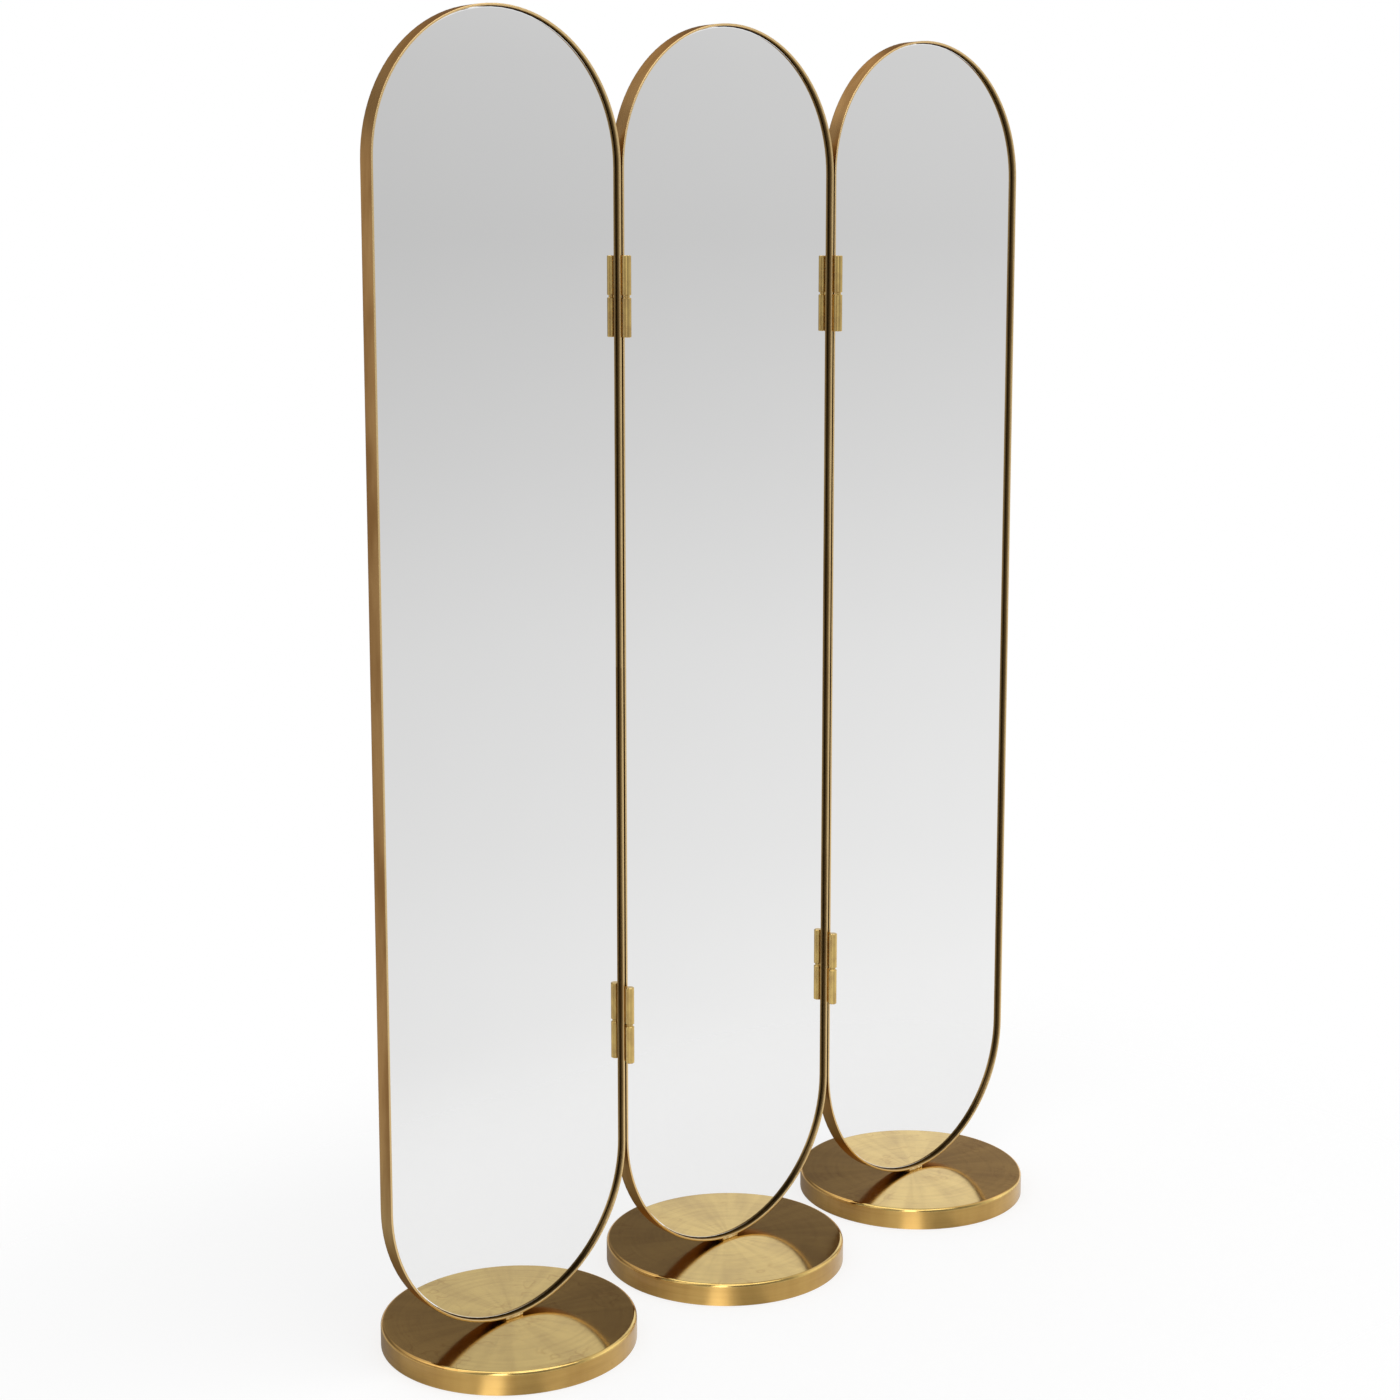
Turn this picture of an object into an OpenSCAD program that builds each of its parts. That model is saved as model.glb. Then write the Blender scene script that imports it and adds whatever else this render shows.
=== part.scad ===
// Folding room divider screen: three tall mirrors with half-round ends in thin strip frames.
// Each frame stands on its own round base, and barrel hinges join the frames side by side.
// +Z is up, the mirrors face -Y, and the origin is on the floor under the middle base.
// The panels are opened out flat. Each outer panel folds forward about its hinge line.

/* [Panels] */
// Width of one panel over its frame
panel_w = 400; // [370:10:440]
// Height of one panel over its frame
panel_h = 1750; // [1600:10:1900]
// Gap between neighbouring frames
panel_gap = 2.5; // [2:0.1:3]

/* [Frame strip] */
// Depth of the flat strip, front to back
strip_depth = 25; // [24:1:30]
// Thickness of the flat strip
strip_t = 3; // [2.5:0.5:4]
// Radius on the strip's long edges
strip_edge_r = 1.2; // [0.6:0.1:1.2]

/* [Mirror and backing] */
// Distance from the frame's front edge back to the glass
mirror_recess = 7; // [6:0.5:9]
// Thickness of the glass
glass_t = 4; // [3:0.5:5]
// Width of the narrow bevel round the glass
bevel_w = 1.2; // [0.8:0.1:4]
// Depth of the narrow bevel
bevel_t = 0.8; // [0.4:0.1:1.2]
// Thickness of the mounting tape between glass and board
tape_t = 1; // [0.8:0.1:1.2]
// Thickness of the backing board
board_t = 6; // [6:0.5:7]
// Clearance between the frame and the edges of glass and board
edge_gap = 1; // [0.5:0.25:2]

/* [Hinges] */
// Distance of both hinges from the panel's mid-height
hinge_offset = 505; // [350:5:515]
// Distance from the frame's front face forward to the hinge axis
axis_reach = 9; // [8.5:0.5:11]
// Outer diameter of the knuckles
knuckle_d = 12; // [11:0.5:14]
// Length of one knuckle
knuckle_h = 53; // [50:1:60]
// Diameter of the hinge pin
pin_d = 6; // [5:0.5:7]
// Diameter of the ring between the knuckles
hinge_washer_d = 8; // [8:0.5:10]
// Space between the knuckles
knuckle_space = 3; // [2:0.25:4]

/* [Bases] */
// Diameter of the round base
base_d = 350; // [300:10:350]
// Height of the round base
base_h = 32; // [28:1:35]
// Radius on the top edge of the base cover
base_edge_r = 5; // [2.5:0.5:6]
// Thickness of the spun cover
cover_t = 1.5; // [1.2:0.1:2]
// Thickness of the floor pad
pad_t = 3; // [2:0.5:4]
// Thickness of the ballast disc away from its hub
ballast_t = 12; // [8:1:14]
// Least thickness of the foot plate, under the lowest point of the frame
foot_t = 2; // [2:0.25:4]

/* [Hidden] */
$fn = 96;
side = ["left", "middle", "right"];
level = ["upper", "lower"];
joint_side = ["left", "right"];
panel_pieces = ["frame_upper", "frame_lower", "mirror", "mirror_tape", "backing_board", "board_tabs",
    "tab_screws", "leaf_screws", "foot", "foot_bolt", "foot_washer", "base_cover", "base_weight", "base_pad"];
hinge_pieces = ["hinge_outer_half", "hinge_middle_half", "hinge_pin", "hinge_washer"];
NODES = concat([for (piece = panel_pieces, s = side) str(piece, "_", s)],
    [for (piece = hinge_pieces, l = level, s = joint_side) str(piece, "_", l, "_", s)]);
node = "all";

brass = [0.62, 0.48, 0.28];
bright_brass = [0.72, 0.56, 0.32];
silver_glass = [0.83, 0.85, 0.86];
dark_board = [0.11, 0.10, 0.10];
zinc = [0.62, 0.62, 0.60];
cast_iron = [0.24, 0.24, 0.25];
black_felt = [0.08, 0.08, 0.08];
white_foam = [0.88, 0.88, 0.85];

// Places of the panels, worked out from the base upwards
pitch = panel_w + panel_gap;
panel_bottom = base_h + foot_t;
panel_mid = panel_bottom + panel_h / 2;
end_r = panel_w / 2;
inner_r = end_r - strip_t;
glass_r = inner_r - edge_gap;
straight = panel_h - panel_w;

// Depths inside the frame, counted forward from the middle of the strip
frame_front = strip_depth / 2;
glass_front = frame_front - mirror_recess;
glass_back = glass_front - glass_t;
board_front = glass_back - tape_t;
board_back = board_front - board_t;
tab_t = 2;
tab_back = board_back - tab_t;

// Tabs that hold the backing board, and their screws
tab_w = 20;
tab_reach = 10;
tab_hole_d = 4.6;
tab_from_arc = 55;
board_hole_d = 4;
board_hole_depth = 5;
tab_screw_d = 3.9;
tab_screw_head_d = 8;
tab_screw_head_t = 2.2;
screw_recess_l = 4.4;
screw_recess_w = 1;
screw_recess_depth = 1.1;

// Mounting tape: upright strips
tape_w = 25;
tape_count = 3;
tape_spacing = 120;

// Hinge leaves and their countersunk screws
leaf_t = panel_gap - 0.4;
leaf_reach = 20.5;
leaf_corner_r = 5;
knuckle_chamfer = 0.8;
bore_depth = knuckle_h - 4;
pin_clearance = 0.05;
pin_end_gap = 2;
washer_play = 0.1;
leaf_screw_d = 2.9;
leaf_hole_d = 3;
leaf_head_d = 5.8;
leaf_head_t = 1.3;
leaf_screw_back = 10;
leaf_screw_heights = [12, 42];

// Base: the cover hangs just clear of the floor, and the pad carries the weight
cover_lift = 0.8;
cover_inner_r = base_d / 2 - cover_t;
ballast_gap = 2.5;
ballast_chamfer = 2;
hub_r = 40;
hub_fillet = 16;
hub_top = base_h - cover_t;
pad_gap = 1.5;
head_bore_d = 22;
head_bore_depth = 8;
bolt_web = 4.5;
bolt_d = 7.9;
bolt_hole_d = 8;
bolt_clear_d = 8.6;
bolt_head_d = 15;
bolt_head_t = 5.3;
bolt_engagement = 7.5;
foot_washer_d = 18;
foot_washer_t = 1.6;
foot_l = 30;
foot_w = 20;
key_l = 24;
key_w = 12;
key_gap = 0.2;
web_top = pad_t + head_bore_depth + bolt_web;
key_bottom = web_top + 0.5;
washer_bottom = pad_t + head_bore_depth - foot_washer_t;

// Stands a form drawn flat upright at the panel's mid-height, with its +Z turned to the front
module stand_up() {
    translate([0, 0, panel_mid])
        rotate([90, 0, 0])
            children();
}

// Rectangle about the origin with round corners, made of straight bars and full circles
module round_bar(w, h, r) {
    square([w - 2 * r, h], center = true);
    square([w, h - 2 * r], center = true);
    for (x = [-1, 1], y = [-1, 1])
        translate([x * (w / 2 - r), y * (h / 2 - r)])
            circle(r);
}

// Carries a section round the half of the stadium path that lies beyond the X axis, towards +Y
module half_stadium_ring(path_r) {
    translate([0, straight / 2, 0])
        rotate_extrude(angle = 180)
            translate([path_r, 0])
                children();
    for (x = [-1, 1])
        translate([x * path_r, straight / 2, 0])
            rotate([90, 0, 0])
                linear_extrude(height = straight / 2)
                    children();
}

// Plate with half-round ends, lying on the XY plane, with a bevel round its upper edge
module stadium_plate(r, t, bevel_across = 0, bevel_down = 0) {
    for (turn = [0, 180])
        rotate([0, 0, turn])
            translate([0, straight / 2, 0])
                rotate_extrude(angle = 180)
                    polygon([[0, 0], [r, 0], [r, t - bevel_down], [r - bevel_across, t], [0, t]]);
    translate([0, straight / 2, 0])
        rotate([90, 0, 0])
            linear_extrude(height = straight)
                polygon([[-r, 0], [r, 0], [r, t - bevel_down], [r - bevel_across, t],
                    [bevel_across - r, t], [-r, t - bevel_down]]);
}

// Puts its children at the joint on one side (-1 or 1), on the hinge axis at a hinge's mid-height
module at_hinge(joint, hinge_level) {
    translate([joint * pitch / 2, -frame_front - axis_reach, panel_mid + hinge_level * hinge_offset])
        children();
}

// Repeats its children at the screws of one leaf, pointing +X into the frame beside it
module at_leaf_screws() {
    for (h = leaf_screw_heights)
        translate([panel_gap / 2 - leaf_t, axis_reach + leaf_screw_back, knuckle_space / 2 + h])
            rotate([0, 90, 0])
                children();
}

// Repeats its children at the leaf screws of one panel (-1 left, 0 middle, 1 right) on one level.
// An outer panel carries the upper half of each hinge, and the middle panel the lower half.
module at_panel_screws(place, hinge_level) {
    if (place == 0) {
        for (joint = [-1, 1])
            at_hinge(joint, hinge_level)
                mirror([joint > 0 ? 1 : 0, 0, 0])
                    mirror([0, 0, 1])
                        at_leaf_screws()
                            children();
    } else {
        at_hinge(place, hinge_level)
            mirror([place < 0 ? 1 : 0, 0, 0])
                at_leaf_screws()
                    children();
    }
}

// Repeats its children at the tabs: three on each long side and one at each end,
// with X pointing outward to the frame and the tab's hole at the origin
module at_tabs() {
    for (x = [-1, 1], y = [-1, 0, 1])
        translate([x * (inner_r - tab_reach), y * (straight / 2 - tab_from_arc), 0])
            rotate([0, 0, x > 0 ? 0 : 180])
                children();
    for (y = [-1, 1])
        translate([0, y * (straight / 2 + inner_r - tab_reach), 0])
            rotate([0, 0, 90 * y])
                children();
}

// Upper (1) or lower (-1) half of a frame, bent from flat strip with rounded edges and tapped for
// the hinge leaves' screws. The two halves meet at mid-height, welded end to end and ground flush.
module frame_half(place, half) {
    color(brass)
        difference() {
            stand_up()
                rotate([0, 0, half > 0 ? 0 : 180])
                    half_stadium_ring(end_r - strip_t / 2)
                        round_bar(strip_t, strip_depth, strip_edge_r);
            translate([-place * pitch, 0, 0])
                at_panel_screws(place, half)
                    cylinder(d = leaf_hole_d, h = 2 * strip_t);
        }
}

// Silvered glass with a narrow polished bevel
module mirror_glass() {
    color(silver_glass)
        stand_up()
            translate([0, 0, glass_back])
                stadium_plate(glass_r, glass_t, bevel_w, bevel_t);
}

// Upright strips of foam tape between glass and board
module mirror_tape() {
    color(white_foam)
        stand_up()
            for (i = [0:tape_count - 1])
                translate([(i - (tape_count - 1) / 2) * tape_spacing, 0, board_front + tape_t / 2])
                    cube([tape_w, straight, tape_t], center = true);
}

// Painted board behind the glass, drilled for the tab screws
module backing_board() {
    color(dark_board)
        stand_up()
            difference() {
                translate([0, 0, board_back])
                    stadium_plate(glass_r, board_t);
                translate([0, 0, board_back - 1])
                    at_tabs()
                        cylinder(d = board_hole_d, h = board_hole_depth + 1);
            }
}

// Tongue-shaped tabs welded to the inside of the strip, with their outer ends cut to its curve
module board_tabs() {
    color(brass)
        stand_up()
            intersection() {
                translate([0, 0, tab_back])
                    at_tabs()
                        difference() {
                            union() {
                                cylinder(d = tab_w, h = tab_t);
                                translate([0, -tab_w / 2, 0])
                                    cube([2 * tab_reach, tab_w, tab_t]);
                            }
                            translate([0, 0, -1])
                                cylinder(d = tab_hole_d, h = tab_t + 2);
                        }
                translate([0, 0, tab_back - 1])
                    stadium_plate(inner_r, tab_t + 2);
            }
}

// Pan-head screws with a cross recess, through the tabs into the board
module tab_screws() {
    color(zinc)
        stand_up()
            translate([0, 0, tab_back])
                at_tabs() {
                    cylinder(d = tab_screw_d, h = tab_t + board_hole_depth);
                    difference() {
                        translate([0, 0, -tab_screw_head_t])
                            cylinder(d1 = tab_screw_head_d - 2, d2 = tab_screw_head_d, h = tab_screw_head_t);
                        for (turn = [0, 90])
                            rotate([0, 0, turn])
                                translate([0, 0, -tab_screw_head_t])
                                    cube([screw_recess_l, screw_recess_w, 2 * screw_recess_depth],
                                        center = true);
                    }
                }
}

// Countersunk screws that hold the hinge leaves to the sides of one frame
module leaf_screws(place) {
    color(brass)
        translate([-place * pitch, 0, 0])
            for (hinge_level = [-1, 1])
                at_panel_screws(place, hinge_level) {
                    cylinder(d1 = leaf_head_d, d2 = leaf_screw_d, h = leaf_head_t);
                    cylinder(d = leaf_screw_d, h = leaf_t + strip_t);
                }
}

// Saddle plate under the lowest point of the frame, with a key block that stops it turning
module foot() {
    color(bright_brass)
        difference() {
            union() {
                translate([-foot_l / 2, -foot_w / 2, base_h])
                    cube([foot_l, foot_w, 2 * foot_t]);
                translate([-key_l / 2, -key_w / 2, key_bottom])
                    cube([key_l, key_w, base_h - key_bottom + foot_t / 2]);
            }
            translate([0, 0, panel_bottom + end_r])
                rotate([90, 0, 0])
                    cylinder(r = end_r, h = 2 * foot_w, center = true, $fn = 256);
            translate([0, 0, key_bottom - 1])
                cylinder(d = bolt_hole_d, h = base_h - key_bottom);
        }
}

// Hexagon bolt from below, through the weight into the foot's key block
module foot_bolt() {
    color(zinc) {
        translate([0, 0, washer_bottom - bolt_head_t])
            cylinder(d = bolt_head_d, h = bolt_head_t, $fn = 6);
        translate([0, 0, washer_bottom])
            cylinder(d = bolt_d, h = key_bottom + bolt_engagement - washer_bottom);
    }
}

module foot_washer() {
    color(zinc)
        translate([0, 0, washer_bottom])
            difference() {
                cylinder(d = foot_washer_d, h = foot_washer_t);
                translate([0, 0, -1])
                    cylinder(d = bolt_clear_d, h = foot_washer_t + 2);
            }
}

// Half section of a disc from the axis out to r, with its upper outer corner rounded
module round_edge_section(r, h, edge_r) {
    square([r - edge_r, h]);
    square([r, h - edge_r]);
    translate([r - edge_r, h - edge_r])
        circle(edge_r);
}

// Spun cap with a rounded top edge and a straight skirt
module base_cover() {
    color(brass)
        difference() {
            rotate_extrude()
                difference() {
                    translate([0, cover_lift])
                        round_edge_section(base_d / 2, base_h - cover_lift, base_edge_r);
                    round_edge_section(cover_inner_r, hub_top, base_edge_r - cover_t);
                }
            translate([0, 0, base_h])
                cube([key_l + 2 * key_gap, key_w + 2 * key_gap, 4 * cover_t], center = true);
        }
}

// Cast ballast disc with a hub that reaches up to the cover and takes the foot's key block
module base_weight() {
    ballast_r = cover_inner_r - ballast_gap;
    ballast_top = pad_t + ballast_t;
    color(cast_iron)
        difference() {
            rotate_extrude()
                polygon([[0, pad_t], [ballast_r - ballast_chamfer, pad_t], [ballast_r, pad_t + ballast_chamfer],
                    [ballast_r, ballast_top - ballast_chamfer], [ballast_r - ballast_chamfer, ballast_top],
                    [hub_r + hub_fillet, ballast_top], [hub_r, hub_top], [0, hub_top]]);
            translate([-key_l / 2 - key_gap, -key_w / 2 - key_gap, web_top])
                cube([key_l + 2 * key_gap, key_w + 2 * key_gap, base_h]);
            cylinder(d = bolt_clear_d, h = base_h);
            cylinder(d = head_bore_d, h = pad_t + head_bore_depth);
        }
}

// Soft disc that rests on the floor
module base_pad() {
    color(black_felt)
        cylinder(r = cover_inner_r - pad_gap, h = pad_t);
}

// Outline of a leaf from the hinge axis back, with its two far corners rounded
module leaf_outline() {
    depth = axis_reach + leaf_reach;
    square([depth - leaf_corner_r, knuckle_h]);
    translate([0, leaf_corner_r])
        square([depth, knuckle_h - 2 * leaf_corner_r]);
    for (z = [leaf_corner_r, knuckle_h - leaf_corner_r])
        translate([depth - leaf_corner_r, z])
            circle(leaf_corner_r);
}

// Turned knuckle above the hinge's mid-height, with a flag leaf on the +X side
module hinge_half(bore_d) {
    knuckle_r = knuckle_d / 2;
    difference() {
        translate([0, 0, knuckle_space / 2]) {
            rotate_extrude()
                polygon([[0, 0], [knuckle_r - knuckle_chamfer, 0], [knuckle_r, knuckle_chamfer],
                    [knuckle_r, knuckle_h - knuckle_chamfer], [knuckle_r - knuckle_chamfer, knuckle_h],
                    [0, knuckle_h]]);
            translate([panel_gap / 2 - leaf_t, 0, 0])
                rotate([90, 0, 90])
                    linear_extrude(height = leaf_t)
                        leaf_outline();
        }
        cylinder(d = bore_d, h = knuckle_space / 2 + bore_depth);
        at_leaf_screws() {
            cylinder(d1 = leaf_head_d + 0.2, d2 = leaf_hole_d, h = leaf_head_t + 0.1);
            cylinder(d = leaf_hole_d, h = 2 * leaf_t);
        }
    }
}

// Upper half of a hinge, which turns with the outer panel
module hinge_outer_half(joint) {
    color(bright_brass)
        mirror([joint < 0 ? 1 : 0, 0, 0])
            hinge_half(pin_d + 2 * pin_clearance);
}

// Lower half of a hinge, which stays with the middle panel and grips the pin
module hinge_middle_half(joint) {
    color(bright_brass)
        mirror([joint > 0 ? 1 : 0, 0, 0])
            mirror([0, 0, 1])
                hinge_half(pin_d);
}

module hinge_pin() {
    pin_foot = knuckle_space / 2 + bore_depth;
    color(zinc)
        translate([0, 0, -pin_foot])
            cylinder(d = pin_d, h = 2 * pin_foot - pin_end_gap);
}

// Ring that carries the upper half, with a little play above it
module hinge_washer() {
    color(brass)
        translate([0, 0, -knuckle_space / 2])
            difference() {
                cylinder(d = hinge_washer_d, h = knuckle_space - washer_play);
                translate([0, 0, -1])
                    cylinder(d = pin_d, h = knuckle_space + 2);
            }
}

function wanted(name) = node == "all" || node == name;

for (i = [0:2])
    translate([(i - 1) * pitch, 0, 0]) {
        if (wanted(str("frame_upper_", side[i]))) frame_half(i - 1, 1);
        if (wanted(str("frame_lower_", side[i]))) frame_half(i - 1, -1);
        if (wanted(str("mirror_", side[i]))) mirror_glass();
        if (wanted(str("mirror_tape_", side[i]))) mirror_tape();
        if (wanted(str("backing_board_", side[i]))) backing_board();
        if (wanted(str("board_tabs_", side[i]))) board_tabs();
        if (wanted(str("tab_screws_", side[i]))) tab_screws();
        if (wanted(str("leaf_screws_", side[i]))) leaf_screws(i - 1);
        if (wanted(str("foot_", side[i]))) foot();
        if (wanted(str("foot_bolt_", side[i]))) foot_bolt();
        if (wanted(str("foot_washer_", side[i]))) foot_washer();
        if (wanted(str("base_cover_", side[i]))) base_cover();
        if (wanted(str("base_weight_", side[i]))) base_weight();
        if (wanted(str("base_pad_", side[i]))) base_pad();
    }

for (l = [0, 1], j = [0, 1]) {
    place = str(level[l], "_", joint_side[j]);
    joint = 2 * j - 1;
    at_hinge(joint, 1 - 2 * l) {
        if (wanted(str("hinge_outer_half_", place))) hinge_outer_half(joint);
        if (wanted(str("hinge_middle_half_", place))) hinge_middle_half(joint);
        if (wanted(str("hinge_pin_", place))) hinge_pin();
        if (wanted(str("hinge_washer_", place))) hinge_washer();
    }
}
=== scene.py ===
import math
import random

import bmesh
import bpy
from bpy.props import FloatProperty, FloatVectorProperty, IntProperty, PointerProperty
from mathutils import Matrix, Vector


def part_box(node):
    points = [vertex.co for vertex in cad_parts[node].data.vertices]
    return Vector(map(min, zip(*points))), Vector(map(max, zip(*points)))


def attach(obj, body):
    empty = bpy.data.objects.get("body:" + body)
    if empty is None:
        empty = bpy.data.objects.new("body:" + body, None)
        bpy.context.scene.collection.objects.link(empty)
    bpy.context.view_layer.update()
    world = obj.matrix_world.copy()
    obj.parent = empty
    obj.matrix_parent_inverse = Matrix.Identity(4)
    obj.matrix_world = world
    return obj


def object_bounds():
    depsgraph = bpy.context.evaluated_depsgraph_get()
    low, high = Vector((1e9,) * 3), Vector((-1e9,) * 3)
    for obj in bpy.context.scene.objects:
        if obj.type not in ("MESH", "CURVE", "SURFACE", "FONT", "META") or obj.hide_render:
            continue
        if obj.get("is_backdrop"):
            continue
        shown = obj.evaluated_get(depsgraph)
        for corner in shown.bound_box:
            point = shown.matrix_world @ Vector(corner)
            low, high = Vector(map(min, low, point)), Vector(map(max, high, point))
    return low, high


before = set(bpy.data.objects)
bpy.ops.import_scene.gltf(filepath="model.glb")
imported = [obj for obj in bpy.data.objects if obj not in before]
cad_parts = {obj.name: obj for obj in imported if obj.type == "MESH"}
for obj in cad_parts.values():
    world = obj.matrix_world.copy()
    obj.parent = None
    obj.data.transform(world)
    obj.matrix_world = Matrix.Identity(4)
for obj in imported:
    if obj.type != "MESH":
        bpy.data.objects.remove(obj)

bl_info = {
    "name": "Folding mirror screen",
    "version": (1, 0, 0),
    "blender": (4, 5, 0),
    "location": "3D View > Sidebar > Mirror screen",
    "description": "Finishes the folding screen of three round-ended mirrors and sets a studio round it",
    "category": "Object",
}

MM = 0.001

# Between which levels of a noise, which runs from 0 to 1, a mark comes up
SOFT_PATCHES = (0.35, 0.7)
SMUDGES = (0.35, 0.75)
SOFT_STREAKS = (0.35, 0.8)
FINE_RINGS = (0.3, 0.8)
BROAD_RINGS = (0.4, 0.8)
RING_CRESTS = (0.5, 0.8)
RARE_STAINS = (0.66, 0.8)
SCUFFED_PLACES = (0.5, 0.6)
WELD_BLOTCHES = (0.45, 0.7)
PAINTED_FIBRES = (0.4, 0.75)
CLOUDS = (0.3, 0.7)

# How bright the room is for metal and glass, from underfoot at 0 to overhead at 1
FRONT_LEVELS = (
    (0.00, 1.0), (0.32, 1.0), (0.355, 0.955), (0.38, 0.90), (0.42, 0.84), (0.46, 0.745),
    (0.505, 0.66), (0.54, 0.69), (0.60, 0.86), (0.66, 1.0), (1.0, 1.0),
)
BACK_LEVELS = (
    (0.00, 0.8), (0.30, 0.55), (0.36, 0.50), (0.42, 0.42), (0.48, 0.50), (0.53, 0.60),
    (0.60, 0.28), (0.65, 0.155), (0.75, 0.155), (0.81, 0.45), (0.88, 0.7), (1.00, 1.0),
)

# Weld beads: how their mesh is divided, and how uneven they are
STEPS_PER_RIPPLE = 8
CORNERS_AROUND = 16
BEAD_SIZE_SPREAD = 0.24
BEAD_DRIFT = 0.4 * MM
RIPPLE_DEPTH = 0.16
RIPPLE_SHARPNESS = 3
END_BLUNTNESS = 8
END_SIZE = 0.02
BEAD_SINK = 0.35
BEAD_LEAN = 0.3
BEAD_STANDOFF = 0.5

# Sizes and places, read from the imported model
cad_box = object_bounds()
panels = ("left", "middle", "right")
frame_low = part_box("frame_lower_middle")[0]
frame_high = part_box("frame_upper_middle")[1]
end_radius = (frame_high.x - frame_low.x) / 2
mid_height = (frame_high.z + frame_low.z) / 2
half_straight = (frame_high.z - frame_low.z) / 2 - end_radius
strip_half_depth = (frame_high.y - frame_low.y) / 2
panel_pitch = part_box("frame_upper_right")[1].x - frame_high.x
glass_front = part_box("mirror_middle")[0].y
glass_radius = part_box("mirror_middle")[1].x
base_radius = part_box("base_cover_middle")[1].x
base_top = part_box("base_cover_middle")[1].z
foot_low, foot_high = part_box("foot_middle")
pin_low, pin_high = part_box("hinge_pin_upper_right")
hinge_y = (pin_low.y + pin_high.y) / 2


class Socket:
    """An output of a shader node. Python maths on it adds Math nodes to its tree."""

    def __init__(self, tree, output):
        self.tree = tree
        self.output = output

    def maths(self, operation, *values):
        return self.tree.add("ShaderNodeMath", {"operation": operation}, dict(enumerate(values)))

    def __add__(self, other):
        return self.maths("ADD", self, other)

    __radd__ = __add__

    def __sub__(self, other):
        return self.maths("SUBTRACT", self, other)

    def __rsub__(self, other):
        return self.maths("SUBTRACT", other, self)

    def __mul__(self, other):
        return self.maths("MULTIPLY", self, other)

    __rmul__ = __mul__

    def __truediv__(self, other):
        return self.maths("DIVIDE", self, other)

    def __pow__(self, other):
        return self.maths("POWER", self, other)

    def __abs__(self):
        return self.maths("ABSOLUTE", self)

    def __round__(self):
        return self.maths("ROUND", self)

    def sign(self):
        return self.maths("SIGN", self)

    def at_least(self, other):
        return self.maths("MAXIMUM", self, other)

    def at_most(self, other):
        return self.maths("MINIMUM", self, other)

    def angle_from(self, other):
        """The angle of the point (other, self) about the origin, in radians."""
        return self.maths("ARCTAN2", self, other)

    def rises(self, low, high):
        """0 up to low, 1 from high, and a smooth step between them."""
        inputs = {"Value": self, "From Min": low, "From Max": high}
        return self.tree.add("ShaderNodeMapRange", {"interpolation_type": "SMOOTHSTEP"}, inputs)

    def falls(self, low, high):
        """1 up to low, 0 from high, and a smooth step between them."""
        return 1 - self.rises(low, high)

    def near(self, middle, flat, end):
        """For an angle: 1 within flat of the middle, and 0 further than end from it, in degrees."""
        return abs(self - math.radians(middle)).falls(math.radians(flat), math.radians(end))

    def wavers(self, spread):
        """A noise made to swing about zero, by that much between its ends."""
        return (self - 0.5) * spread


class Tree:
    """Adds nodes to the shader tree of one material or world."""

    nodes_in_row, node_width, node_height = 10, 220, 260

    def __init__(self, owner):
        owner.use_nodes = True
        self.nodes = owner.node_tree.nodes
        self.links = owner.node_tree.links
        self.nodes.clear()

    def add(self, kind, settings=None, inputs=None, output=0):
        """Adds one node: its settings first, then the values or links of its sockets."""
        node = self.nodes.new(kind)
        row, column = divmod(len(self.nodes), self.nodes_in_row)
        node.location = (column * self.node_width, -row * self.node_height)
        for name, value in (settings or {}).items():
            if name == "stops":
                set_stops(node.color_ramp, value)
            else:
                setattr(node, name, value)
        for name, value in (inputs or {}).items():
            socket = open_socket(node.inputs, name)
            if isinstance(value, Socket):
                self.links.new(value.output, socket)
            elif socket.type == "RGBA":
                socket.default_value = (*value[:3], 1)
            else:
                socket.default_value = value
        return Socket(self, open_socket(node.outputs, output))

    def place(self):
        """The point on the surface, in the frame of the rest pose, as x, y and z."""
        point = self.add("ShaderNodeTexCoord", output="Object")
        return self.parts(point)

    def parts(self, vector):
        return [self.add("ShaderNodeSeparateXYZ", inputs={0: vector}, output=axis) for axis in "XYZ"]

    def vector(self, x, y, z):
        return self.add("ShaderNodeCombineXYZ", inputs={"X": x, "Y": y, "Z": z})

    def noise(self, x, y, z, detail=2, roughness=0.5):
        inputs = {"Vector": self.vector(x, y, z), "Scale": 1, "Detail": detail, "Roughness": roughness}
        return self.add("ShaderNodeTexNoise", inputs=inputs, output="Fac")

    def grain(self, place, per_metre, detail=2, roughness=0.5):
        """A noise that is alike in all directions, from a place as x, y and z."""
        x, y, z = place
        return self.noise(x * per_metre, y * per_metre, z * per_metre, detail, roughness)

    def blend(self, share, first, second, kind="MIX"):
        """Goes from the first colour to the second as share goes from 0 to 1."""
        settings = {"data_type": "RGBA", "blend_type": kind}
        return self.add("ShaderNodeMix", settings, {"Factor": share, "A": first, "B": second})

    def bump(self, height, depth, strength):
        """A normal from height, which is 0 to 1 for that depth in metres."""
        inputs = {"Height": height, "Distance": depth, "Strength": strength}
        return self.add("ShaderNodeBump", inputs=inputs)

    def surface(self, **inputs):
        """The Principled shader, with underscores in its socket names, and the output."""
        named = {name.replace("_", " "): value for name, value in inputs.items()}
        shader = self.add("ShaderNodeBsdfPrincipled", inputs=named)
        self.add_output("ShaderNodeOutputMaterial", shader)

    def add_output(self, kind, shader):
        node = self.nodes.new(kind)
        self.links.new(shader.output, node.inputs["Surface"])


def open_socket(sockets, key):
    """The socket with that name or number among those that the node's settings leave in use."""
    used = [s for s in sockets if s.enabled]
    return used[key] if isinstance(key, int) else next(s for s in used if s.name == key)


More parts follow.
